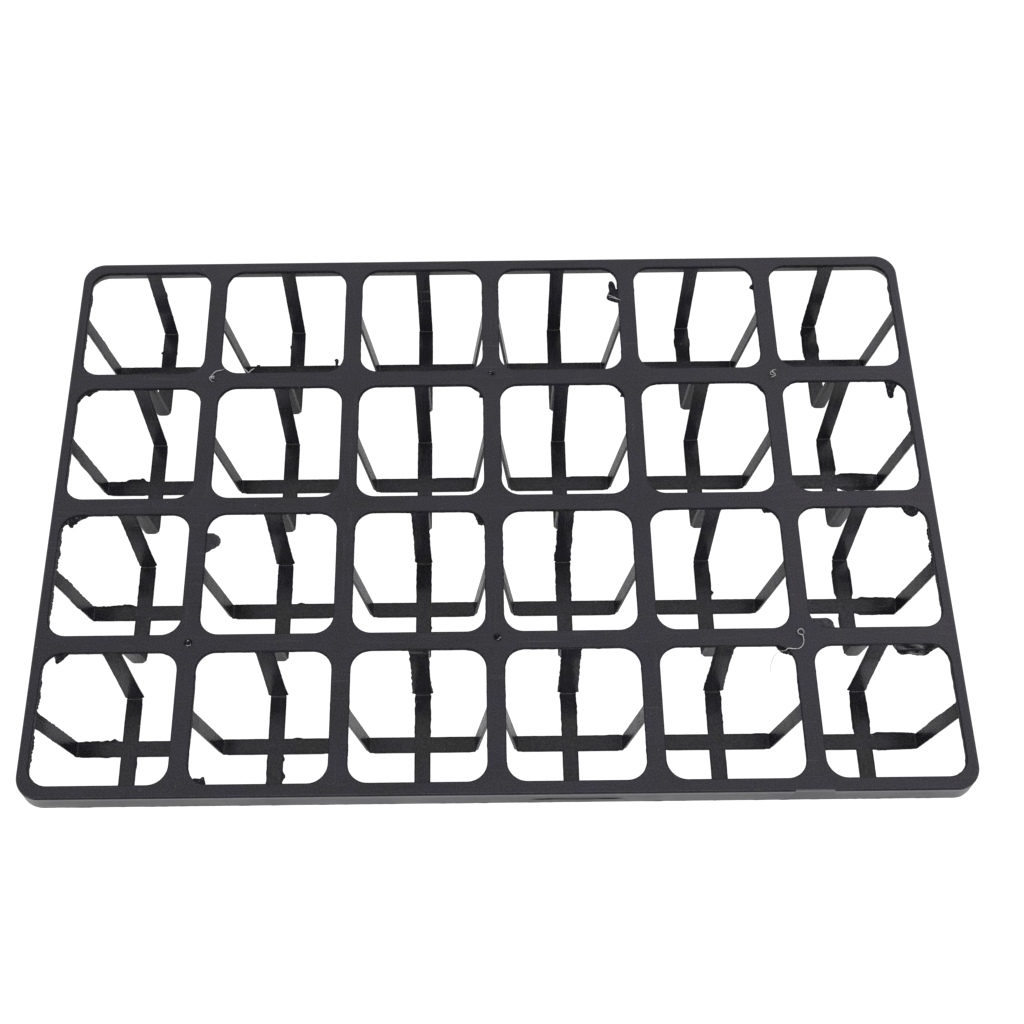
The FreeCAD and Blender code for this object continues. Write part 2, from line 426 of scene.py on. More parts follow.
def floor_white():
    """The floor: plain white paper to the camera, and a softly shaded pale sheet to everything else."""
    n = Nodes(bpy.data.materials.new("floor_white"))
    fibre = n.noise(n.place(), 60.0, 3.0)
    colour = n.mix(fibre, shade(0.80, 0.80, 0.80), shade(0.84, 0.84, 0.84))
    sheet = n.add("ShaderNodeBsdfDiffuse", Color=colour)
    glow = n.add("ShaderNodeEmission", Color=shade(1.0, 1.0, 1.0), Strength=1.1)
    both = n.add("ShaderNodeMixShader")
    n.feed(both, "0", n.add("ShaderNodeLightPath").outputs["Is Camera Ray"])
    n.feed(both, "1", sheet.outputs[0])
    n.feed(both, "2", glow.outputs[0])
    n.add("ShaderNodeOutputMaterial", Surface=both.outputs[0])
    return n.owner


DECK_PLASTIC = black_plastic("deck_plastic", (9.0, 16.0, 9.0), extra=deck_extra,
                             sheen=(0.98, 0.96, 1.045, 1.0))
# Painted light: pale=0.034 lifts the skirt's colour above the deck's, standing for the light its faces catch
# from the bright floor in front.
SKIRT_PLASTIC = black_plastic("skirt_plastic", (7.0, 7.0, 160.0), pale=0.034, rough=0.36,
                              extra=skirt_extra)
CAGE_PLASTIC = black_plastic("cage_plastic", (22.0, 22.0, 22.0), rough=0.20, strap=True)
FLASH_PLASTIC = black_plastic("flash_plastic", (120.0, 120.0, 60.0), rough=0.42, grain=2.5,
                              extra=flash_extra)
BEAD_PLASTIC = black_plastic("bead_plastic", (120.0, 120.0, 60.0), rough=0.26, grain=2.0,
                             extra=bead_extra)
TONGUE_PLASTIC = black_plastic("tongue_plastic", (16.0, 9.0, 9.0), grain=1.5)
CURL_PLASTIC = black_plastic("curl_plastic", (300.0, 300.0, 300.0), pale=0.30, rough=0.35)
THREAD_PLASTIC = black_plastic("thread_plastic", (300.0, 300.0, 300.0), pale=0.42, rough=0.35)


# ---- Cages -------------------------------------------------------------------------------------

RIGHT, BACK, LEFT, FRONT = range(4)           # the arms of a cage and the walls of its opening


def strap_path():
    """Middle line of half a strap: floor, bend and leg. Gives (radius, height, normal, distance)."""
    half = STRAP_THICK / 2
    lean = math.atan2(WALL_AT - FLOOR_REACH, DECK_UNDER - STRAP_THICK)
    centre_r = FLOOR_REACH - BEND_INSIDE_R * (1 - math.sin(lean)) / math.cos(lean)
    centre_z = STRAP_THICK + BEND_INSIDE_R
    bend_r = BEND_INSIDE_R + half
    sweep = math.pi / 2 - lean
    start = FLOOR_HALF + 0.8 * MM
    floor_steps = int((centre_r - start) / STATION)
    path = []
    for step in range(floor_steps + 1):
        r = start + (centre_r - start) * step / floor_steps
        path.append((r, half, (0.0, 1.0), r))
    bend_steps = 8
    for step in range(1, bend_steps + 1):
        angle = -math.pi / 2 + sweep * step / bend_steps
        along = centre_r + bend_r * sweep * step / bend_steps
        out = (math.cos(angle), math.sin(angle))
        path.append((centre_r + bend_r * out[0], centre_z + bend_r * out[1], (-out[0], -out[1]), along))
    bend_at = centre_r + bend_r * sweep
    foot_r, foot_z = path[-1][:2]
    length = (DECK_UNDER + BURIED - foot_z) / math.cos(lean)
    leg_steps = int(length / STATION)
    stations = [0.35 * MM, 0.7 * MM, 1.05 * MM, 1.4 * MM]
    stations += [length * step / leg_steps for step in range(2, leg_steps + 1)]
    for s in stations:
        path.append((foot_r + s * math.sin(lean), foot_z + s * math.cos(lean),
                     (-math.cos(lean), math.sin(lean)), bend_at + s))
    return path, centre_r + bend_r * sweep / 2, bend_at


STRAP_PATH, BEND_MIDDLE, BEND_AT = strap_path()
STRAP_END = STRAP_PATH[-1][3]

# Edges that wander off the straight: strap (row, column, arm) to stretches (side, start, end, height),
# in mm along the strap from the cell centre; a fifth value is the height at the stretch's end. Side 1
# is to the left, looking out along the arm.
BULGES = {
    (1, 1, LEFT): ((-1, 50, 58, 0.5), (1, 47, 53, 0.5)),
    (1, 1, BACK): ((1, 13.2, 14.8, 1.2), (-1, 13.4, 14.6, 0.4), (-1, 59, 65, 0.6)),
    (1, 2, BACK): ((1, 15.6, 18.2, 0.8),), (1, 5, BACK): ((1, 13, 21, 0.7), (-1, 13, 21, 0.5)),
    (1, 6, BACK): ((1, 5, 26, 0.85), (-1, 8, 16, 0.5)),
    (2, 1, LEFT): ((-1, 5, 17.5, 1.4), (-1, 6.5, 9.5, 0.8), (1, 5, 27, 0.3), (1, 55, 65, 0.5),
                   (1, 40, 48, 0.5)),
    (2, 3, RIGHT): ((1, 5, 27, 0.3),), (2, 4, RIGHT): ((1, 5, 27, 0.3),),
    (2, 5, RIGHT): ((-1, 5, 27, 0.4),), (2, 6, RIGHT): ((1, 5, 26, 1.0, 0.25), (-1, 5, 27, 1.75)),
    (2, 6, BACK): ((-1, 5, 22, 0.8, 0.2),),
    (3, 1, LEFT): ((-1, 4.5, 20, 1.2, 0.1), (1, 44, 56, 0.6), (-1, 55, 65, 0.6)),
    (3, 2, RIGHT): ((1, 7.1, 11.5, 0.8),), (3, 2, BACK): ((-1, 10, 14, 0.3),),
    (3, 3, FRONT): ((1, 9.6, 11.0, 0.7),), (3, 5, BACK): ((-1, 6.2, 9.8, 1.5), (-1, 9.5, 21, 0.4)),
    (3, 4, BACK): ((1, 33, 39, 0.5), (-1, 46, 54, 0.5)),
    (3, 6, RIGHT): ((1, 6.5, 27, 0.9, 0.4), (-1, 5, 27, 1.25)),
    (3, 6, BACK): ((1, 5, 22, 1.2), (-1, 5, 23, 0.9)), (3, 6, FRONT): ((-1, 4.6, 13, 0.7),),
    (4, 1, LEFT): ((-1, 6, 10, 1.2), (-1, 10, 14, 0.3), (1, 9, 15, 0.5)),
    (4, 1, FRONT): ((1, 5, 11, 0.5),), (4, 2, RIGHT): ((1, 8, 14, 0.5),),
    (4, 4, RIGHT): ((1, 18, 27, 0.25),), (4, 5, RIGHT): ((1, 18, 27, 0.25),),
    (4, 2, FRONT): ((1, 5.2, 7.8, 1.0), (1, 13.2, 18.2, 1.4)),
    (4, 6, RIGHT): ((1, 5, 27, 0.9, 0.4), (-1, 5, 20, 0.7, 0.2), (1, 43, 60, 0.35)),
    (4, 6, BACK): ((1, 4.6, 22, 0.7, 0.3), (-1, 5, 22, 0.3)),
}
# Whole floors that cooled a little out of place: (row, column) to mm right and back; none at the deck.
SHIFTS = {
    (2, 1): (0.20, 0.0), (2, 2): (0.05, 0.18), (2, 5): (0.10, -0.13), (2, 6): (0.20, -0.60),
    (3, 1): (0.35, -0.30), (3, 5): (0.10, -0.08), (3, 6): (0.20, -0.60), (4, 1): (0.25, -0.15),
    (4, 2): (0.0, 0.37), (4, 3): (0.0, 0.40), (4, 4): (0.35, 0.35), (4, 5): (0.30, 0.27),
    (4, 6): (0.25, -0.50),
}
# Straps with an untidy edge all along: height of the raggedness in mm, to (row, column, arm).
RAGGED = {
    0.25: ((1, 1, BACK), (4, 6, RIGHT)),
    0.3: ((1, 6, BACK), (2, 6, RIGHT), (3, 1, BACK), (3, 2, BACK), (4, 6, BACK)),
    0.35: ((1, 1, LEFT), (3, 3, BACK)),
    0.4: ((3, 6, RIGHT), (4, 2, FRONT)),
    0.5: ((2, 1, LEFT), (3, 4, BACK), (4, 3, BACK), (4, 4, BACK), (4, 5, BACK)),
    0.6: ((3, 1, LEFT), (4, 1, LEFT)),
}
# Far legs that were overfilled and came out wider: (row, column) to extra mm on the left and right.
WIDE_LEGS = {
    (1, 6): (0.3, 0.2), (2, 1): (0.0, 0.2), (3, 1): (0.4, 0.8), (3, 2): (0.8, 0.5), (3, 3): (0.7, 0.3),
    (3, 4): (0.3, 0.1), (3, 5): (0.3, 0.1), (3, 6): (0.6, 0.0), (4, 1): (0.5, 1.1), (4, 2): (0.9, 0.8),
    (4, 3): (1.0, 0.7), (4, 4): (1.4, 0.8), (4, 5): (1.0, 0.6), (4, 6): (1.2, 0.0),
}
# Ears where a far leg turns into the floor: (row, column) to (left, right) in mm.
EARS = {
    (3, 1): (0.2, 0.5), (3, 2): (0.3, 0.7), (3, 3): (0.2, 0.4), (3, 4): (0.6, 0.5), (4, 1): (0.2, 0.5),
    (4, 2): (0.3, 0.8), (4, 3): (0.6, 0.8), (4, 4): (0.3, 0.7), (4, 5): (0.4, 0.9), (4, 6): (0.4, 0.5),
}
PLAIN_RAGGED = 0.10                           # raggedness of every other strap, in mm


def raggedness(strap):
    for height, straps in RAGGED.items():
        if strap in straps:
            return height * MM
    return PLAIN_RAGGED * MM


def edge_offset(row, column, arm, side, s):
    """How far a strap's edge stands off the straight at distance s: (whole edge, thin fin)."""
    seed = row * 41 + column * 7 + arm * 3 + (2 if side > 0 else 1)
    fade = smooth_step((s - FLOOR_HALF) / (3 * MM))
    ragged = raggedness((row, column, arm))
    whole = 0.06 * MM * wave(seed, s, 9 * MM) + 0.3 * ragged * wave(seed + 5, s, 5 * MM)
    fin = ragged * (0.30 + 0.8 * wave(seed + 9, s, 2.6 * MM) + 0.5 * wave(seed + 13, s, 0.9 * MM))
    for bulge_side, start, end, *heights in BULGES.get((row, column, arm), ()):
        if bulge_side == side:
            shape = swelling(s / MM, start, end, heights[0], heights[-1]) * MM
            whole += 0.6 * shape
            fin += 0.4 * shape
    past = s - BEND_AT
    pick = 0 if side > 0 else 1
    ear = 0.0
    if arm == BACK:
        ear = EARS.get((row, column), (0.0, 0.1))[pick] * MM
        wide = WIDE_LEGS.get((row, column), (0.0, 0.0))[pick] * MM
        whole += wide * smooth_step(past / (1.5 * MM))
    if past > 0:
        whole += ear * smooth_step(past / (1.2 * MM)) * math.exp(-past / (7 * MM)) * 1.25
    to_deck = STRAP_END - BURIED - s
    whole += 0.7 * MM * math.exp(-max(to_deck, 0.0) / (0.9 * MM))
    return fade * whole, max(fade * fin, 0.0) + 0.03 * MM


def strap_ring(s, row, column, arm):
    """Section of a strap at distance s as (across, inward height) points, round from the inner face."""
    top, low = STRAP_THICK / 2, -STRAP_THICK / 2
    swell = 0.05 * MM * wave(row * 11 + column * 5 + arm, s, 7 * MM)
    on_leg = smooth_step((s - BEND_MIDDLE + 0.2 * MM) / (0.5 * MM))
    climbed = min(max((s - BEND_AT + 0.43 * MM) / (1.5 * MM), 0.0), 1.0)
    foot = FOOT_R * (1 - math.sqrt(1 - (1 - climbed) ** 2))
    foot *= smooth_step((s - BEND_MIDDLE + 2.6 * MM) / (1.6 * MM))
    round_r = STRAP_EDGE_R + (LEG_BACK_R - STRAP_EDGE_R) * on_leg
    edges = {}
    for side in (1, -1):
        whole, fin = edge_offset(row, column, arm, side, s)
        inner = FLOOR_HALF + (LEG_HALF - FLOOR_HALF) * on_leg + whole
        outer = FLOOR_HALF + (LEG_BACK_HALF - FLOOR_HALF) * on_leg + whole
        edges[side] = [
            (inner + fin - 0.09 * MM, top + 0.5 * swell), (inner + fin, top - 0.09 * MM),
            (inner + fin, top - 0.7 * FIN_THICK), (inner, top - FIN_THICK),
            (outer - 0.8 * foot, low + round_r),
            (outer - 0.29 * round_r - 0.95 * foot, low + 0.29 * round_r), (outer - round_r - foot, low),
        ]
    ring = []
    for share in (-0.5, 0.0, 0.5):
        ring.append((share * edges[1 if share > 0 else -1][0][0], top + swell))
    ring.extend(edges[1])
    for share in (0.5, 0.0, -0.5):
        ring.append((share * edges[1 if share > 0 else -1][6][0], low))
    ring.extend((-a, h) for a, h in reversed(edges[-1]))
    return ring


# Points of a strap's section that run across its inner face, and back across its outer face.
INNER_FACE = (19, 0, 1, 2, 3)
OUTER_FACE = (13, 12, 11, 10, 9)


def cage(row, column):
    """One cage: a crossed floor and four legs, as a single closed mesh."""
    middle = cell_middle(row, column)
    shift = SHIFTS.get((row, column), (0.0, 0.0))
    verts, faces, along, across = [], [], [], []
    hub_top, hub_low = [], []
    for arm in range(4):
        cos_t, sin_t = math.cos(arm * math.pi / 2), math.sin(arm * math.pi / 2)

        def put(r, a, z, s):
            share = (1 - min(z / DECK_UNDER, 1.0)) * MM
            verts.append((middle.x + r * cos_t - a * sin_t + share * shift[0],
                          middle.y + r * sin_t + a * cos_t + share * shift[1], CAGE_FOOT + z))
            along.append(s + arm * 0.3 + row * 1.7 + column * 2.9)
            across.append(a)

        # The corners of the first ring lie on the cell's diagonals, where neighbouring arms meet.
        ring = strap_ring(0.0, row, column, arm)
        rings = [len(verts)]
        for index, (a, h) in enumerate(ring):
            r = abs(a)
            if index in INNER_FACE:
                h = ring[3][1]
            if index < 3:
                r = abs(ring[3][0])
            elif 10 <= index < 13:
                r = abs(ring[9][0])
            put(r, a, STRAP_THICK / 2 + h, 0.0)
        hub_top.extend(rings[0] + i for i in INNER_FACE[:-1])
        hub_low.extend(rings[0] + i for i in OUTER_FACE[:-1])
        for middle_r, middle_z, normal, s in STRAP_PATH:
            rings.append(len(verts))
            for a, h in strap_ring(s, row, column, arm):
                put(middle_r + h * normal[0], a, middle_z + h * normal[1], s)
        faces.extend(stitch(rings, len(ring)))
        faces.append(cap(rings[-1], len(ring)))
    faces.append(tuple(hub_top))
    faces.append(tuple(hub_low))
    return add_piece("cage_r%d_c%d" % (row, column), (verts, faces), CAGE_PLASTIC, 35.0,
                     {"along": along, "across": across})


def all_cages():
    for row, column in all_cells():
        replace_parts(cage(row, column), cage_name(row, column))


# ---- Moulding flash: lumps, tongues and torn skin ---------------------------------------------

# Walls of an opening that carry flash: the way out to each from the cell's middle, and along it.
WALLS = {LEFT: ((-1, 0), (0, 1)), RIGHT: ((1, 0), (0, 1)), BACK: ((0, 1), (1, 0))}


def wall_place(wall, t):
    """Place and inward direction on the wall of an opening. t runs along the wall from its middle and
    on round the corner arcs."""
    out, along = (Vector(way) for way in WALLS[wall])
    past = abs(t) - CORNER_FROM
    if past <= 0:
        return out * WALL_AT + along * t, -out
    side = along * (1 if t > 0 else -1)
    angle = past / CORNER_R
    normal = out * math.cos(angle) + side * math.sin(angle)
    return (out + side) * CORNER_FROM + normal * CORNER_R, -normal


def sheet(point_at, thick_at, steps_u, steps_v):
    """A closed thin body: point_at(u, v) is its middle surface, thick_at(u, v) its thickness along z."""
    verts, faces = [], []
    wide = steps_v + 1
    for side in (1, -1):
        for i in range(steps_u + 1):
            for j in range(wide):
                u, v = i / steps_u, j / steps_v
                x, y, z = point_at(u, v)
                verts.append((x, y, z + side * thick_at(u, v) / 2))
    low = (steps_u + 1) * wide
    for i in range(steps_u):
        for j in range(steps_v):
            a = i * wide + j
            quad = (a, a + 1, a + 1 + wide, a + wide)
            faces.append(quad)
            faces.append(tuple(low + k for k in reversed(quad)))
    rim = [i * wide for i in range(steps_u + 1)]
    rim += [steps_u * wide + j for j in range(1, wide)]
    rim += [i * wide + steps_v for i in range(steps_u - 1, -1, -1)]
    rim += list(range(steps_v - 1, 0, -1))
    for a, b in zip(rim, rim[1:] + rim[:1]):
        faces.append((a, b, low + b, low + a))
    return verts, faces


def flap(row, column, wall, start, end, heights, droop=0.35, thick=0.8, down=1.0, rough=0.18):
    """Torn flash on the wall of an opening. start and end are places along the wall, and heights its
    outline, all in mm; droop bends it down, and down is its drop below the deck's top."""
    middle = cell_middle(row, column)
    seed = row * 13 + column * 5 + start
    reach = max(heights) * MM
    inside = 0.9 * MM

    def point_at(u, v):
        t = (start + (end - start) * u) * MM
        height = between(heights, u) * MM
        height += rough * MM * wave(seed, t, 0.9 * MM) * min(1.0, height / (1.0 * MM))
        pushed = -inside + (max(height, 0.05 * MM) + inside) * v
        place, inwards = wall_place(wall, t)
        place = place + inwards * pushed
        share = max(pushed, 0.0) / max(reach, 0.1 * MM)
        z = DECK_TOP - down * MM - droop * reach * share * share
        z += 0.18 * MM * wave(seed + 3, t + 2 * pushed, 1.6 * MM)
        return middle.x + place.x, middle.y + place.y, z

    def thick_at(u, v):
        rounding = math.sqrt(max(0.0, 1 - v ** 6)) * math.sqrt(max(0.0, 1 - abs(2 * u - 1) ** 8))
        return thick * MM * (0.12 + 0.88 * rounding * (1 - 0.3 * v))

    return sheet(point_at, thick_at, max(10, int(abs(end - start) * 3.0)), 10)


def blob(middle, size, seed, rough=0.3):
    """A small irregular lump of plastic, squashed and dented; its size is half its extent in mm."""
    work = bmesh.new()
    bmesh.ops.create_icosphere(work, subdivisions=3, radius=1.0)
    verts = []
    for vert in work.verts:
        dent = noise.noise(vert.co * 1.3 + Vector((seed * 1.9, seed, 0.0)))
        dent += 0.5 * noise.noise(vert.co * 3.1 + Vector((0.0, seed * 2.3, seed)))
        place = vert.co * (1 + rough * dent)
        verts.append(tuple(middle[axis] + place[axis] * size[axis] * MM for axis in range(3)))
    faces = [tuple(v.index for v in f.verts) for f in work.faces]
    work.free()
    return verts, faces


def smooth_loop(corners, steps=6):
    """A smooth closed line through the given corners."""
    count = len(corners)
    points = []
    for index in range(count):
        near = [Vector(corners[(index + k - 1) % count]) for k in range(4)]
        points.extend(spline(*near, steps))
    return points


def to_line(spot, line):
    """Distance from a spot to a closed line of points."""
    best = math.inf
    for a, b in zip(line, line[1:] + line[:1]):
        ab = b - a
        share = min(max((spot - a).dot(ab) / max(ab.dot(ab), 1e-12), 0.0), 1.0)
        best = min(best, (spot - a - ab * share).length)
    return best


def is_inside(spot, line):
    """Whether a spot lies within a closed line: a ray from it crosses the line an odd number of times."""
    crossings = 0
    for a, b in zip(line, line[1:] + line[:1]):
        if (a.y > spot.y) != (b.y > spot.y):
            crossings += spot.x < a.x + (b.x - a.x) * (spot.y - a.y) / (b.y - a.y)
    return crossings % 2 == 1


def plate(row, column, corners, thick=0.9, round_r=0.6, down=0.9, rough=0.15, grid=0.55, hang=0.0):
    """A torn piece of flash of any outline. Corners are mm from the cell's middle; round_r rounds its
    rim, and hang is how far it drops for each mm it reaches in from the nearer wall."""
    middle = cell_middle(row, column)
    seed = row * 17 + column * 3
    line = []
    for point in smooth_loop(corners):
        shake = [noise.noise(Vector((point.x * 0.9, point.y * 0.9, seed + layer))) for layer in (0.3, 7.8)]
        line.append(point + Vector(shake) * rough)
    spots = list(line)
    low_x, high_x = min(p.x for p in line), max(p.x for p in line)
    low_y, high_y = min(p.y for p in line), max(p.y for p in line)
    for i in range(int((high_x - low_x) / grid) + 1):
        for j in range(int((high_y - low_y) / grid) + 1):
            spot = Vector((low_x + (i + 0.5) * grid, low_y + (j + 0.5) * grid))
            if is_inside(spot, line) and to_line(spot, line) > 0.45 * grid:
                spots.append(spot)
    ring = [(i, (i + 1) % len(line)) for i in range(len(line))]
    flat, _, triangles, _, _, _ = delaunay_2d_cdt(spots, ring, [], 1, 1e-5)
    edge_count = {}
    for triangle in triangles:
        for edge in zip(triangle, triangle[1:] + triangle[:1]):
            edge_count[frozenset(edge)] = edge_count.get(frozenset(edge), 0) + 1
    verts, faces = [], []
    for side in (1, -1):
        for point in flat:
            rim = min(to_line(point, line) / round_r, 1.0)
            half = thick / 2 * math.sqrt(max(1 - (1 - rim) ** 2, 0.0)) + 0.03
            reach = max(WALL_AT / MM - max(abs(point.x), abs(point.y)), 0.0)
            lift = 0.22 * noise.noise(Vector((point.x * 0.5, point.y * 0.5, seed + 0.5)))
            dent = 0.12 * noise.noise(Vector((point.x * 1.4, point.y * 1.4, seed + side)))
            z = -down - hang * reach + lift + side * (half + dent * rim)
            verts.append((middle.x + point.x * MM, middle.y + point.y * MM, DECK_TOP + z * MM))
    total = len(flat)
    for triangle in triangles:
        faces.append(tuple(triangle))
        faces.append(tuple(total + k for k in reversed(triangle)))
        for a, b in zip(triangle, triangle[1:] + triangle[:1]):
            if edge_count[frozenset((a, b))] == 1:
                faces.append((a, b, total + b, total + a))
    return verts, faces


# How far the walls of the end openings stand proud in mm, for rows 1 to 4.
PROUD_WALLS = {(LEFT, 1): (0.6, 0.65, 1.15, 0.7), (RIGHT, COLUMNS): (0.55, 0.55, 0.6, 0.6)}


def rim_walls():
    """Walls of the end openings that were overfilled, each a ragged skin nearly as deep as the deck."""
    shells = []
    for (wall, column), proud in PROUD_WALLS.items():
        for row in range(1, ROWS + 1):
            amount = proud[row - 1]
            waves = [amount * (1 + 0.55 * wave(row + column, k, 1.7)) for k in range(22)]
            shells.append(flap(row, column, wall, -28.0, 28.0, [0.15, *waves, 0.15], droop=0.0, thick=1.5,
                               down=0.95, rough=0.4 * amount if row == 3 else 0.08))
    shells.append(flap(4, 2, LEFT, -20.0, 22.0, (0.1, 0.4, 0.6, 0.4, 0.5, 0.1), droop=0.0, thick=1.4,
                       down=0.95))
    add_piece("rim_walls", join_shells(shells), TONGUE_PLASTIC)


# Torn plates of flash: (row, column) to the outline in mm from the cell's middle, and what sets it apart.
PLATES = {
    (1, 2): (((28.7, -33.2), (28.7, -29.0), (28.5, -26.4), (28.1, -25.1), (28.9, -24.1), (30.1, -24.6),
              (30.3, -26.2), (30.1, -29.0), (30.9, -33.2)),
             dict(thick=1.0, round_r=0.5, rough=0.1, grid=0.4)),
    (1, 4): (((33.6, 10.4), (29.8, 10.8), (27.4, 11.8), (26.6, 13.6), (27.2, 15.4), (28.1, 17.7),
              (28.0, 21.3), (28.8, 24.0), (30.4, 24.2), (31.6, 22.0), (32.1, 19.6), (33.6, 18.0)),
             dict(thick=1.1, down=0.8, rough=0.25)),
    (2, 1): (((-33.4, 24.0), (-31.5, 25.6), (-29.8, 28.4), (-28.4, 29.3), (-27.3, 28.8), (-26.2, 28.9),
              (-25.3, 30.1), (-23.9, 31.2), (-22.5, 32.0), (-21.0, 33.6), (-33.4, 33.6)),
             dict(thick=1.2, rough=0.25)),
    (2, 6): (((22.4, 33.4), (22.9, 30.0), (23.1, 27.0), (23.4, 25.2), (24.0, 24.0), (25.0, 23.3),
              (26.2, 23.5), (26.6, 24.8), (26.7, 26.4), (27.2, 27.8), (28.0, 29.2), (28.8, 30.6),
              (29.2, 33.4)), dict(thick=1.1, rough=0.3, hang=0.25)),
    (3, 1): (((-33.6, 25.0), (-31.6, 26.2), (-30.7, 27.4), (-29.2, 28.0), (-28.5, 26.6), (-27.4, 26.1),
              (-26.4, 26.4), (-26.0, 27.6), (-24.6, 28.4), (-23.8, 30.0), (-22.4, 30.6), (-20.0, 31.8),
              (-18.5, 33.6), (-33.6, 33.6)), dict(thick=1.3, round_r=0.8, rough=0.35)),
    (3, 6): (((20.6, 33.6), (21.2, 31.0), (22.4, 28.8), (24.2, 27.4), (26.2, 27.2), (28.2, 28.4),
              (29.4, 30.8), (29.8, 33.6)), dict(thick=1.1, rough=0.3)),
    (4, 1): (((-27.4, 33.2), (-26.9, 30.0), (-26.4, 28.4), (-25.5, 27.6), (-24.4, 28.4), (-22.9, 29.8),
              (-21.6, 31.2), (-20.6, 32.4), (-20.2, 33.6)), dict(thick=1.1, rough=0.2)),
    (4, 2): (((-30.4, -33.4), (-29.9, -30.0), (-28.4, -29.8), (-26.9, -30.0), (-26.1, -29.2),
              (-25.2, -29.1), (-24.6, -30.2), (-24.2, -33.4)), dict(thick=1.4, round_r=0.7, rough=0.25)),
}
# Flaps of flash: (row, column) to (wall, start, end, heights, what sets it apart).
LONG_FLAP = dict(droop=0.15, rough=0.5)
LOW_FLAP = dict(droop=0.1)
FLAPS = {
    (1, 1): [(LEFT, 9, 21, (0.2, 0.9, 1.1, 0.9, 0.2), LOW_FLAP),
             (LEFT, -18, -8, (0.1, 0.9, 0.7, 0.9, 0.1), LOW_FLAP)],
    (1, 5): [(RIGHT, 17.6, 21.6, (0.4, 1.7, 1.9, 1.4, 0.3), dict(droop=0.3))],
    (1, 6): [(RIGHT, 4, 22, (0.1, 0.9, 0.7, 1.0, 0.2), LOW_FLAP)],
    (2, 3): [(RIGHT, 26.0, 35.2, (0.1, 0.9, 0.5, 0.7, 0.9, 0.7, 0.2), dict(rough=0.3)),
             (RIGHT, 25.4, 28.2, (0.3, 1.6, 1.7, 1.3, 0.3), dict(thick=1.2))],
    (2, 4): [(RIGHT, 24.6, 34.5, (0.2, 1.7, 0.9, 0.9, 1.0, 0.7, 0.5, 0.2), dict(thick=0.9, rough=0.3))],
    (2, 5): [(RIGHT, 25.0, 34.0, (0.2, 0.5, 0.9, 0.8, 0.5, 0.2), {})],
    (2, 6): [(RIGHT, -6, 20, (0.1, 0.9, 0.7, 1.0, 0.2), LOW_FLAP)],
    (3, 1): [(LEFT, 1, 22, (0.2, 1.5, 1.1, 1.9, 1.2, 1.7, 0.3), LONG_FLAP)],
    (3, 2): [(BACK, 16, 20, (0.1, 0.7, 0.8, 0.1), {})],
    (3, 3): [(RIGHT, 25.3, 34.4, (1.5, 2.8, 2.7, 2.5, 2.2, 1.7, 1.0, 0.2),
              dict(droop=0.2, thick=1.0, rough=0.15))],
    (3, 5): [(BACK, 24.3, 31.0, (0.3, 1.6, 2.0, 1.7, 1.2, 0.5, 0.1), dict(thick=0.9, rough=0.3))],
    (3, 6): [(RIGHT, -2, 22, (0.2, 1.3, 0.9, 1.7, 1.0, 1.4, 0.3), LONG_FLAP)],
    (4, 1): [(LEFT, 3, 22, (0.2, 1.1, 1.4, 1.0, 1.3, 0.3), LONG_FLAP),
             (LEFT, -24, -6, (0.3, 1.2, 0.9, 1.3, 1.0, 0.2), LONG_FLAP)],
    (4, 5): [(BACK, 24.0, 34.0, (0.3, 1.6, 2.2, 2.2, 1.8, 1.0, 0.2), dict(thick=0.9, rough=0.2))],
}


def floor_lump():
    """A lump on the edge of the left floor strap of the second cell in the back row."""
    middle = cell_middle(1, 2)
    place = (middle.x - 22.6 * MM, middle.y + 4.6 * MM, CAGE_FOOT + STRAP_THICK / 2)
    return blob(place, (1.0, 0.9, 0.7), 31.6)


def cell_flash():
    """Every torn or overfilled spot that stands out, as one piece for each cell."""
    for row, column in all_cells():
        shells = []
        if (row, column) in PLATES:
            outline, settings = PLATES[row, column]
            shells.append(plate(row, column, outline, **settings))
        for wall, start, end, heights, settings in FLAPS.get((row, column), ()):
            shells.append(flap(row, column, wall, start, end, heights, **settings))
        if (row, column) == (1, 2):
            shells.append(floor_lump())
        if shells:
            add_piece("flash_r%d_c%d" % (row, column), join_shells(shells), FLASH_PLASTIC)


def tongue():
    shape = flap(3, 2, LEFT, 11.2, 22.4, (0.2, 2.4, 4.8, 6.5, 7.0, 6.9, 6.1, 3.4), droop=0.15, thick=0.9,
                 rough=0.1)
    add_piece("tongue_r3_c2", shape, TONGUE_PLASTIC)


def step_plate():
    shape = plate(3, 6, ((-34.0, -27.6), (-31.3, -27.6), (-27.0, -27.6), (-24.4, -27.6), (-22.6, -28.4),
                         (-21.6, -29.6), (-21.3, -31.2), (-21.2, -33.8), (-28.0, -34.0), (-34.0, -34.0)),
                  thick=1.2, round_r=0.4, down=1.0, rough=0.05)
    add_piece("step_r3_c6", shape, TONGUE_PLASTIC)


def bead():
    shape = plate(4, 6, ((7.6, 33.6), (7.4, 29.6), (8.6, 27.9), (10.8, 27.6), (13.0, 27.9), (15.4, 27.5),
                         (18.0, 27.1), (20.4, 27.0), (22.2, 27.7), (24.0, 28.9), (26.0, 30.2), (28.0, 31.4),
                         (28.6, 33.4)), thick=1.9, round_r=2.2, down=0.8, rough=0.3)
    add_piece("flash_r4_c6", shape, BEAD_PLASTIC, 60.0)


# ---- The skirt, and a thin ragged line of flash along its foot and along every opening -----------

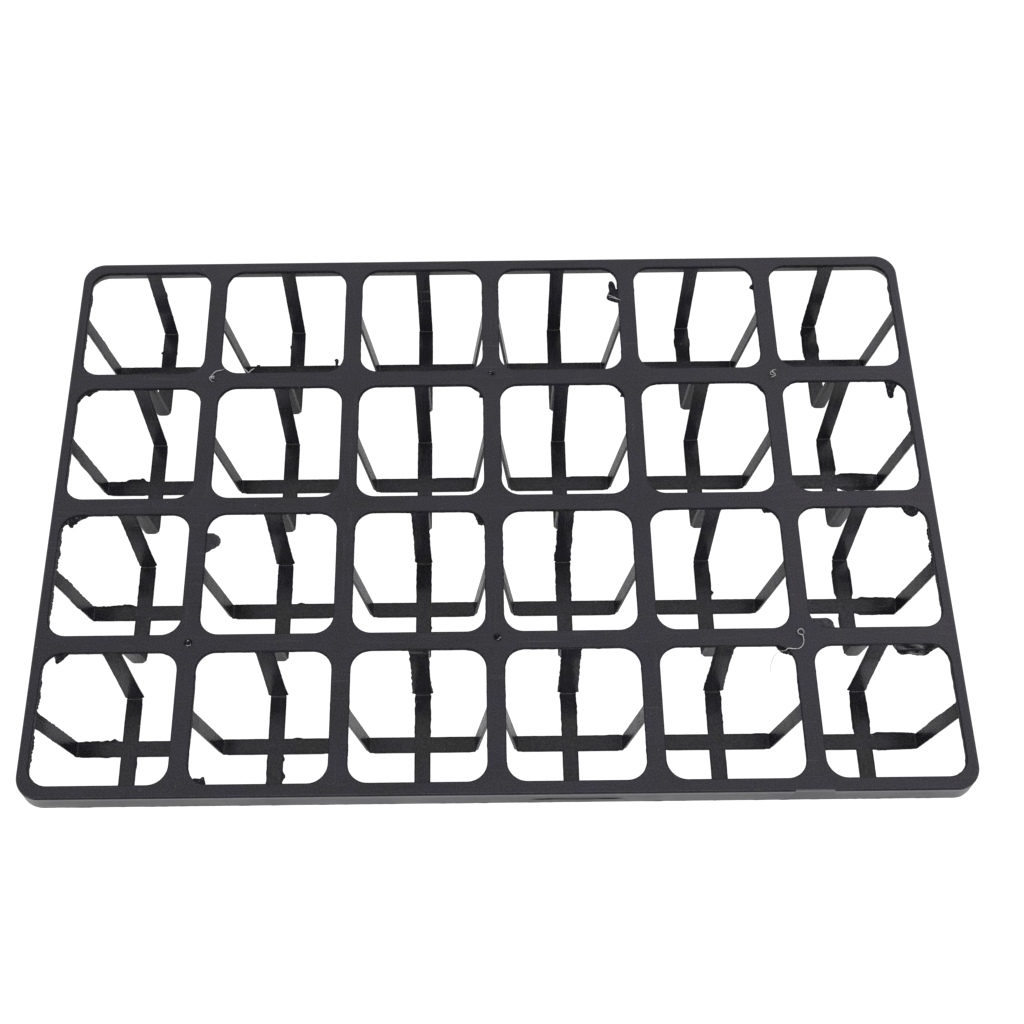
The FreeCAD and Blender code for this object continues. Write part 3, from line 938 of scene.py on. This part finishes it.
def rounded_outline(half_x, half_y, corner_r, spacing):
    """Points round a rounded rectangle about the origin, each with its outward normal and distance, and
    the length all round."""
    points = []
    walked = 0.0
    quarter = math.pi * corner_r / 2
    for turn in range(4):
        angle = turn * math.pi / 2
        normal = Vector((math.cos(angle), math.sin(angle)))
        side = Vector((-math.sin(angle), math.cos(angle)))
        reach, run = (half_x, half_y - corner_r) if turn % 2 == 0 else (half_y, half_x - corner_r)
        steps = int(2 * run / spacing)
        for step in range(steps):
            t = 2 * run * step / steps
            points.append((normal * reach + side * (t - run), normal, walked + t))
        walked += 2 * run
        centre = normal * (reach - corner_r) + side * run
        bends = max(6, int(quarter / spacing))
        for step in range(bends):
            a = angle + math.pi / 2 * step / bends
            out = Vector((math.cos(a), math.sin(a)))
            points.append((centre + out * corner_r, out, walked + quarter * step / bends))
        walked += quarter
    return points, walked


def edge_skin(name, middle, outline, length, z_high, z_low, way, amount, seed, material):
    """A closed ragged fin that runs all round an edge and dips inside the plastic where there is none.
    way is 1 for a fin that stands outwards and -1 for one that stands inwards."""
    verts = []
    turns = 2 * math.pi / length
    thick = z_high - z_low
    root = -0.5 * MM
    for point, normal, walked in outline:
        loop = Vector((math.cos(walked * turns), math.sin(walked * turns), 0.0))
        coarse = noise.noise(loop * (length / (60 * MM)) + Vector((seed, 0, 0)))
        medium = noise.noise(loop * (length / (16 * MM)) + Vector((0, seed, 0)))
        small = noise.noise(loop * (length / (4 * MM)) + Vector((0, 0, seed)))
        fin = max(amount * (0.15 + 1.2 * coarse + 0.8 * medium + 0.5 * small), -0.15 * MM)
        section = [(root, z_high), (fin * 0.6, z_high), (fin, z_low + 0.55 * thick),
                   (fin, z_low + 0.2 * thick), (fin * 0.8, z_low), (root, z_low)]
        for out, z in section:
            place = point + normal * (way * out)
            verts.append((middle.x + place.x, middle.y + place.y, z))
    count = len(section)
    faces = stitch(range(0, len(verts), count), count, closed=True)
    add_piece(name, (verts, faces), material)


def opening_skins():
    outline, length = rounded_outline(WALL_AT, WALL_AT, CORNER_R, 1.0 * MM)
    for row, column in all_cells():
        amount = 0.34 * MM if column in (1, COLUMNS) else 0.24 * MM
        edge_skin("opening_skin_r%d_c%d" % (row, column), cell_middle(row, column), outline, length,
                  DECK_UNDER + 0.45 * MM, DECK_UNDER + 0.02 * MM, -1, amount, row * 7.1 + column * 1.3,
                  FLASH_PLASTIC)


def recess_half(x):
    """Half the height of the lens-shaped recess in the skirt's front face."""
    along = (x - RECESS_X) / RECESS_REACH
    return max(RECESS_HALF * (1 - along * along), 0.0)


def shaved(x, share):
    """How far the shaved flat sets the front face back; share is 0 at the deck and 1 at the foot."""
    reach = (SCALLOP_FOOT + (SCALLOP_TOP - SCALLOP_FOOT) * (1 - share)) / 2
    inside = smooth_step((reach - abs(x - SCALLOP_X)) / (0.7 * MM) + 0.5)
    return inside * SCALLOP_DEPTH * (1 - share)


def skirt():
    """The skirt with its draft: it leans out a little towards its foot, with a rounded lower edge."""
    half = (SKIRT_HIGH - SKIRT_LOW) / 2
    outline, _ = rounded_outline(half.x, half.y, SKIRT_CORNER_R, 0.6 * MM)
    foot = DECK_TOP - SKIRT_DEEP
    recess_z = DECK_TOP - RECESS_DROP
    verts = []
    for point, normal, _ in outline:
        front = normal.y < -0.99
        lens = recess_half(point.x) if front else 0.0
        deep = RECESS_DEPTH * smooth_step(lens / (0.2 * MM))
        lens = max(lens, 0.05 * MM)
        outer = [(DECK_UNDER, 0.0), (DECK_UNDER - 1.0 * MM, 0.0), (DECK_UNDER - 2.5 * MM, 0.0),
                 (recess_z + lens + 0.15 * MM, 0.0), (recess_z + lens - 0.02 * MM, deep),
                 (recess_z - lens + 0.02 * MM, deep), (recess_z - lens - 0.15 * MM, 0.0),
                 (foot + 2.2 * MM, 0.0), (foot + 1.1 * MM, 0.0), (foot + 0.4 * MM, 0.0),
                 (foot + 0.12 * MM, 0.12 * MM), (foot, 0.4 * MM)]
        inner = [(foot, SKIRT_THICK - 0.4 * MM), (foot + 0.12 * MM, SKIRT_THICK - 0.12 * MM),
                 (foot + 0.4 * MM, SKIRT_THICK), (DECK_UNDER - 2.5 * MM, SKIRT_THICK),
                 (DECK_UNDER, SKIRT_THICK)]
        swell = 0.07 * MM * wave(3.3, point.x + 1.7 * point.y, 11 * MM)
        for z, back in outer + inner:
            share = (DECK_UNDER - z) / (DECK_UNDER - foot)
            flat = shaved(point.x, share) if front and back < SKIRT_THICK - 0.5 * MM else 0.0
            out = SKIRT_FLARE * share - back - flat + swell * math.sin(math.pi * share)
            place = point + normal * out
            verts.append((place.x, place.y, z))
    count = len(outer) + len(inner)
    faces = stitch(range(0, len(verts), count), count, closed=True)
    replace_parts(add_piece("skirt", (verts, faces), SKIRT_PLASTIC, 30.0), "rim_skirt")


def skirt_skin():
    half = (SKIRT_HIGH - SKIRT_LOW) / 2
    out = SKIRT_FLARE * 0.95
    outline, length = rounded_outline(half.x + out, half.y + out, SKIRT_CORNER_R + out, 1.2 * MM)
    low = DECK_TOP - SKIRT_DEEP
    edge_skin("skirt_skin", (SKIRT_LOW + SKIRT_HIGH) / 2, outline, length, low + 0.85 * MM, low + 0.35 * MM,
              1, 0.16 * MM, 5.5, SKIRT_PLASTIC)


# ---- Gate marks and threads ----------------------------------------------------------------------

def tube(points, radius, sides=7):
    """A closed round thread through the given points, tapering at its ends."""
    verts = []
    last = len(points) - 1
    for index, point in enumerate(points):
        ahead = points[min(index + 1, last)] - points[max(index - 1, 0)]
        ahead.normalize()
        side = ahead.cross(Vector((0.13, 0.31, 0.94))).normalized()
        up = side.cross(ahead)
        share = index / last
        fat = radius * (0.35 + 0.65 * min(1.0, 6 * share, 6 * (1 - share)))
        for k in range(sides):
            angle = 2 * math.pi * k / sides
            verts.append(tuple(point + (side * math.cos(angle) + up * math.sin(angle)) * fat))
    faces = stitch(range(0, len(verts), sides), sides)
    return verts, faces + [cap(0, sides), cap(last * sides, sides)]


def curve_through(stops, steps=10):
    """A smooth line through a few stops."""
    stops = [Vector(stop) for stop in stops]
    padded = [stops[0] * 2 - stops[1], *stops, stops[-1] * 2 - stops[-2]]
    points = []
    for near in zip(padded, padded[1:], padded[2:], padded[3:]):
        points.extend(spline(*near, steps))
    return points + [stops[-1]]


# Half a gate stub's outline from its foot to its torn top: (radius, height), before size and tearing.
NUB_PROFILE = [(0.25, -0.5), (2.3, -0.5), (2.25, 0.02), (1.95, 0.12), (1.6, 0.16), (1.35, 0.08),
               (1.2, 0.05), (1.0, 0.30), (0.85, 0.62), (0.7, 0.92), (0.5, 1.0), (0.25, 0.86)]


def gate_nub(x, y, seed, tall, size):
    """The torn stub of an injection gate: a low collar round a broken, leaning stump."""
    verts = []
    spokes = 28
    for r, z in NUB_PROFILE:
        share = smooth_step(z / 0.6)
        for k in range(spokes):
            angle = 2 * math.pi * k / spokes
            spot = Vector((math.cos(angle), math.sin(angle), z))
            bend = noise.noise(spot * 1.4 + Vector((seed, 0, 0)))
            radius = size * r * (1 + 0.55 * bend * (0.4 + share))
            torn = noise.noise(spot * 2.6 + Vector((0, seed, 0)))
            height = z * (1 + (tall - 1) * share) + 0.3 * share * torn
            lean = 0.35 * share * height
            verts.append((x + (radius * math.cos(angle) + lean * math.cos(seed)) * MM,
                          y + (radius * math.sin(angle) + lean * math.sin(seed)) * MM,
                          DECK_TOP + height * MM))
    faces = stitch(range(0, len(verts), spokes), spokes)
    return verts, faces + [cap(0, spokes), cap(len(verts) - spokes, spokes)]


# Torn gates: (bars across, bars back) to height, size, and the middle of the mark in mm from the crossing.
GATES = {
    (-2, 1): (0.7, 0.55, 0.2, 0.6), (0, 1): (1.2, 0.58, -0.6, 2.7), (2, 1): (0.8, 0.55, 0.6, 0.2),
    (-2, -1): (1.2, 1.05, 0.0, 0.0), (0, -1): (1.3, 0.95, 1.0, 1.2), (2, -1): (0.9, 0.60, -0.4, 1.2),
}


def gate_marks():
    """Six torn gates on the deck, each with a few crumbs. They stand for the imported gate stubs."""
    shells = []
    for (across, back), (tall, size, shift_x, shift_y) in GATES.items():
        x, y = across * PITCH + shift_x * MM, back * PITCH + shift_y * MM
        seed = across * 2.3 + back * 1.1 + 4
        shells.append(gate_nub(x, y, seed, tall, size))
        for k in range(5):
            angle = seed * 3 + k * 2 * math.pi / 5
            away = size * (0.9 + 0.8 * noise.noise(Vector((seed, k, 0.5)))) * MM
            fat = 0.38 + 0.25 * noise.noise(Vector((k, seed, 1.5)))
            spot = (x + away * math.cos(angle), y + away * math.sin(angle), DECK_TOP + 0.3 * tall * MM)
            shells.append(blob(spot, (fat, 0.8 * fat, 0.9 * fat), seed + k, 0.5))
    shells.append(blob((0.9 * MM, PITCH + 2.2 * MM, DECK_TOP + 0.4 * MM), (0.75, 0.8, 0.7), 5.9, 0.5))
    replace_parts(add_piece("gate_marks", join_shells(shells), FLASH_PLASTIC), "gate_stubs")


def gate_curls():
    """Pale bits of torn plastic that curl round the gates."""
    shells = []
    for (across, back), (tall, size, shift_x, shift_y) in GATES.items():
        seed = across * 1.7 + back * 2.9 + 2
        for k in range(2):
            stops = []
            for step in range(5):
                angle = seed * 2 + k * 2.9 + step * 0.55
                away = size * (1.6 - 0.6 * k + 0.9 * noise.noise(Vector((seed, k, step * 0.9)))) - 0.12 * step
                rise = (0.35 + 0.5 * tall * math.sin(0.8 * step)) * (0.7 + 0.3 * k)
                stops.append((across * PITCH + (shift_x + away * math.cos(angle)) * MM,
                              back * PITCH + (shift_y + away * math.sin(angle)) * MM, DECK_TOP + rise * MM))
            shells.append(tube(curve_through(stops, 6), 0.17 * MM, 6))
    add_piece("gate_curls", join_shells(shells), CURL_PLASTIC, 60.0)


# Fine threads drawn out of a gate, or left on an edge: name to the place it starts from (bars across,
# bars back), its radius and its stops, in mm from there and above the deck's top.
BACK_LEFT, BACK_RIGHT, FRONT_RIGHT = (-2, 1), (2, 1), (2, -1)
THREADS = {
    "thread_back_left": (BACK_LEFT, 0.20, (
        (1.5, -1.4, 0.5), (0.3, -0.8, 1.0), (-0.5, 0.4, 1.3), (-0.3, 1.4, 1.5), (0.5, 1.2, 1.6),
        (0.3, 0.4, 1.5), (0.1, 1.4, 1.4), (0.6, 2.4, 1.4), (1.2, 3.5, 1.3), (2.0, 4.6, 1.1),
        (3.1, 5.4, 0.9), (4.7, 5.8, 0.7), (6.3, 6.5, 0.5), (7.4, 7.4, 0.4))),
    "thread_back_left_loop": (BACK_LEFT, 0.15, (
        (1.2, 0.2, 1.2), (1.8, 1.0, 1.5), (1.5, 1.8, 1.6), (0.9, 1.5, 1.5), (1.0, 0.7, 1.4))),
    "thread_back_right": (BACK_RIGHT, 0.20, (
        (2.3, 2.2, 0.8), (1.2, 1.8, 1.4), (0.1, 0.9, 1.9), (0.2, -0.3, 2.0), (1.2, -0.9, 1.9),
        (1.3, -1.7, 1.6), (0.2, -2.2, 1.2), (-0.9, -2.6, 0.7))),
    "thread_back_right_curl": (BACK_RIGHT, 0.17, (
        (0.9, 0.6, 1.6), (-0.3, 0.5, 2.1), (-1.1, -0.2, 1.9), (-0.8, -1.1, 1.5), (0.1, -1.3, 1.2))),
    "thread_front_right": (FRONT_RIGHT, 0.21, (
        (0.4, 0.6, 0.9), (0.6, 1.9, 1.4), (-0.1, 3.0, 1.8), (-1.2, 3.2, 1.8), (-2.2, 2.5, 1.6),
        (-2.2, 1.4, 1.4), (-1.3, 0.6, 1.2), (-0.2, 0.3, 1.0), (0.1, -1.0, 0.8), (0.2, -2.8, 0.6),
        (-0.8, -5.1, 0.5), (-2.7, -6.5, 0.6), (-5.5, -6.6, 0.7), (-7.8, -6.4, 0.7), (-9.4, -7.6, 0.6),
        (-11.6, -7.7, 0.5))),
    "thread_front_right_tail": (FRONT_RIGHT, 0.14, (
        (-11.4, -7.6, 0.5), (-13.2, -8.6, 0.4), (-14.9, -10.2, 0.2), (-16.3, -12.8, 0.0),
        (-17.2, -16.0, -0.3), (-17.3, -19.5, -0.6))),
    "streak_r1_c4": ((0.5, 1.5), 0.20, (
        (27.0, 14.9, -0.3), (28.6, 14.2, 0.0), (29.9, 13.5, 0.05), (31.4, 12.7, 0.05), (32.8, 12.0, 0.1))),
    "streak_r1_c4_low": ((0.5, 1.5), 0.14, (
        (27.2, 13.7, -0.3), (29.0, 13.0, 0.0), (30.8, 12.4, 0.05), (32.6, 11.8, 0.1), (34.4, 11.2, 0.1))),
    "thread_r1_c2": ((-1.5, 1.5), 0.24, (
        (-20.4, -29.6, -0.9), (-19.3, -30.8, -0.7), (-18.3, -32.1, -0.5), (-17.6, -32.8, -0.4),
        (-17.0, -31.8, -0.3), (-15.9, -30.6, -0.5), (-14.8, -29.8, -0.8))),
}


def threads():
    for name, ((across, back), radius, stops) in THREADS.items():
        places = [(across * PITCH + a * MM, back * PITCH + b * MM, DECK_TOP + c * MM) for a, b, c in stops]
        add_piece(name, tube(curve_through(places), radius * MM), THREAD_PLASTIC, 60.0)


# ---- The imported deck's finish, and the floor, light and camera -----------------------------------

def deck_finish():
    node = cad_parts["deck_grid"]
    node.data.materials.clear()
    node.data.materials.append(DECK_PLASTIC)


def floor():
    """A flat pale sheet, far wider than the tray."""
    size, steps = 6.0, 48
    verts, faces = [], []
    for i in range(steps + 1):
        for j in range(steps + 1):
            verts.append((size * (j / steps - 0.5), size * (i / steps - 0.5), -0.2 * MM))
    for i in range(steps):
        for j in range(steps):
            a = i * (steps + 1) + j
            faces.append((a, a + 1, a + steps + 2, a + steps + 1))
    mesh = bpy.data.meshes.new("floor")
    mesh.from_pydata(verts, [], faces)
    mesh.materials.append(floor_white())
    paper = bpy.data.objects.new("floor", mesh)
    bpy.context.scene.collection.objects.link(paper)


def area_light(name, place, aim, width, depth, watts, colour=(1.0, 1.0, 1.0)):
    data = bpy.data.lights.new(name, "AREA")
    data.shape = "RECTANGLE"
    data.size = width
    data.size_y = depth
    data.energy = watts
    data.color = colour
    lamp = bpy.data.objects.new(name, data)
    lamp.location = place
    lamp.rotation_mode = "QUATERNION"
    lamp.rotation_quaternion = (Vector(aim) - Vector(place)).to_track_quat("-Z", "Y")
    bpy.context.scene.collection.objects.link(lamp)


def studio():
    """Soft light from all round, a little weaker from overhead, and two faint softboxes."""
    n = Nodes(bpy.data.worlds.new("studio"))
    towards = n.add("ShaderNodeTexCoord").outputs["Generated"]
    height = n.add("ShaderNodeSeparateXYZ", Vector=towards).outputs["Z"]
    sky = n.add("ShaderNodeBackground", Color=(1.0, 0.99, 1.0, 1.0),
                Strength=n.spread(height, 0.15, 0.85, 1.35, 0.78))
    n.add("ShaderNodeOutputWorld", Surface=sky.outputs[0])
    bpy.context.scene.world = n.owner
    area_light("softbox_right", (1.2, 0.8, 1.4), (0.1, 0.0, 0.0), 0.8, 0.8, 4.0, (0.95, 0.90, 1.0))
    area_light("softbox_front", (0.0, -0.9, 0.9), (0.0, -0.2, 0.0), 1.2, 0.4, 4.0)
    bpy.context.scene.view_settings.view_transform = "Standard"


def camera():
    """The camera looks down on the tray from the front, a little off centre and slightly rolled."""
    elevation, azimuth, roll = math.radians(64.988), math.radians(0.160), math.radians(-0.797)
    distance = 685.71 * MM
    target = Vector((-6.39 * MM, -23.15 * MM, DECK_TOP))
    back = Vector((math.sin(azimuth) * math.cos(elevation), -math.cos(azimuth) * math.cos(elevation),
                   math.sin(elevation)))
    right = (-back).cross(Vector((0.0, 0.0, 1.0))).normalized()
    up = right.cross(-back)
    right_rolled = right * math.cos(roll) + up * math.sin(roll)
    up_rolled = -right * math.sin(roll) + up * math.cos(roll)
    data = bpy.data.cameras.new("camera")
    data.sensor_width = 36.0
    data.lens = 47.795
    data.shift_x = 0.03011
    data.shift_y = 0.03089
    data.clip_start = 0.05
    data.clip_end = 20.0
    eye = bpy.data.objects.new("camera", data)
    bpy.context.scene.collection.objects.link(eye)
    turned = Matrix((right_rolled, up_rolled, back)).transposed()
    eye.matrix_world = Matrix.Translation(target + back * distance) @ turned.to_4x4()
    bpy.context.scene.camera = eye


deck_finish()
all_cages()
cell_flash()
tongue()
step_plate()
bead()
rim_walls()
opening_skins()
skirt()
skirt_skin()
gate_marks()
gate_curls()
threads()
floor()
studio()
camera()
